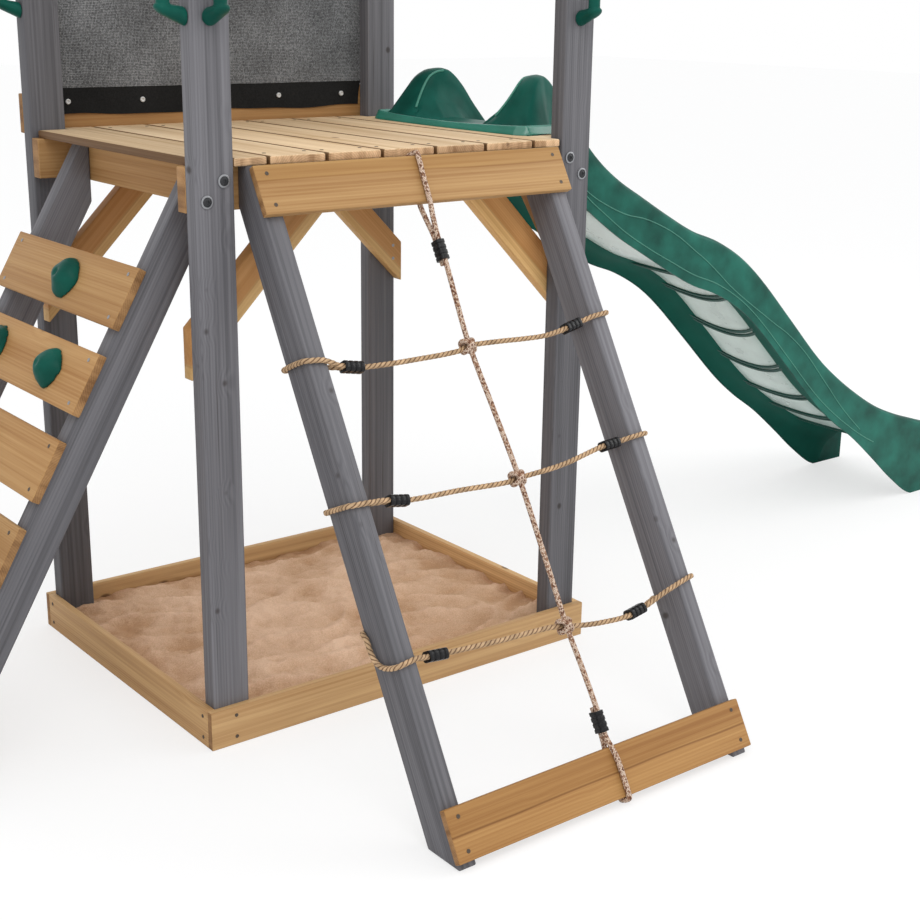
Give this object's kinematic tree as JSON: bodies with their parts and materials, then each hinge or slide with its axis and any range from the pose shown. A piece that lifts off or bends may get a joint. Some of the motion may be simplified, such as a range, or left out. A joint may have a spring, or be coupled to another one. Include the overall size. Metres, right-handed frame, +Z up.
{
  "type": "wooden climbing frame",
  "caption": "Timber play tower with a raised deck over a sandpit, a sloping rope net, a wavy plastic slide, a sloping climbing wall, hand grips and a mesh guard.",
  "frame": {"origin": "on the ground under the middle of the tower", "axes": "+Z up, -Y to the front with the rope net, +X to the slide, -X to the climbing wall"},
  "size_m": [3.7268, 1.6565, 2.05],
  "materials": {
    "grey_timber": "grey-stained softwood with visible grain and knots",
    "deck_timber": "pale planed softwood",
    "natural_timber": "honey-brown impregnated softwood",
    "green_plastic": "smooth dark green polyethylene",
    "pale_rope": "braided pale rope",
    "straw_rope": "twisted straw-coloured rope",
    "black_plastic": "black moulded plastic",
    "mesh_cloth": "dark woven mesh",
    "hem_cloth": "black webbing",
    "white_plastic": "white moulded plastic",
    "zinc_steel": "zinc-plated",
    "sand": "loose warm-coloured play sand"
  },
  "bodies": {
    "root": {"post_front_left": "grey_timber", "post_front_right": "grey_timber", "post_back_left": "grey_timber", "post_back_right": "grey_timber", "beam_front": "natural_timber", "beam_back": "natural_timber", "beam_left": "natural_timber", "beam_right": "natural_timber", "deck_plank_1": "deck_timber", "deck_plank_2": "deck_timber", "deck_plank_3": "deck_timber", "deck_plank_4": "deck_timber", "deck_plank_5": "deck_timber", "deck_plank_6": "deck_timber", "deck_plank_7": "deck_timber", "brace_front_left": "natural_timber", "brace_front_right": "natural_timber", "brace_back_left": "natural_timber", "brace_back_right": "natural_timber", "side_brace_front_right": "natural_timber", "side_brace_back_right": "natural_timber", "pit_board_front": "natural_timber", "pit_board_back": "natural_timber", "pit_board_left": "natural_timber", "pit_board_right": "natural_timber", "sand_fill": "sand", "net_leg_left": "grey_timber", "net_leg_right": "grey_timber", "net_board_top": "natural_timber", "net_board_bottom": "natural_timber", "net_rope_upright": "pale_rope", "net_rope_upper": "straw_rope", "net_rope_middle": "straw_rope", "net_rope_lower": "straw_rope", "rope_clamps": "black_plastic", "rope_knots": "pale_rope", "slide": "green_plastic", "wall_rail_front": "grey_timber", "wall_rail_back": "grey_timber", "wall_plank_1": "natural_timber", "wall_plank_2": "natural_timber", "wall_plank_3": "natural_timber", "wall_plank_4": "natural_timber", "wall_plank_5": "natural_timber", "wall_plank_6": "natural_timber", "wall_holds": "green_plastic", "guard_rail_lower": "natural_timber", "guard_rail_upper": "natural_timber", "mesh_panel": "mesh_cloth", "mesh_hems": "hem_cloth", "hem_buttons": "white_plastic", "grip_front_left": "green_plastic", "grip_front_right": "green_plastic", "grip_side_front": "green_plastic", "grip_side_back": "green_plastic", "bolt_washers": "zinc_steel", "bolt_heads": "black_plastic", "wood_screws": "zinc_steel"}
  },
  "joints": []
}
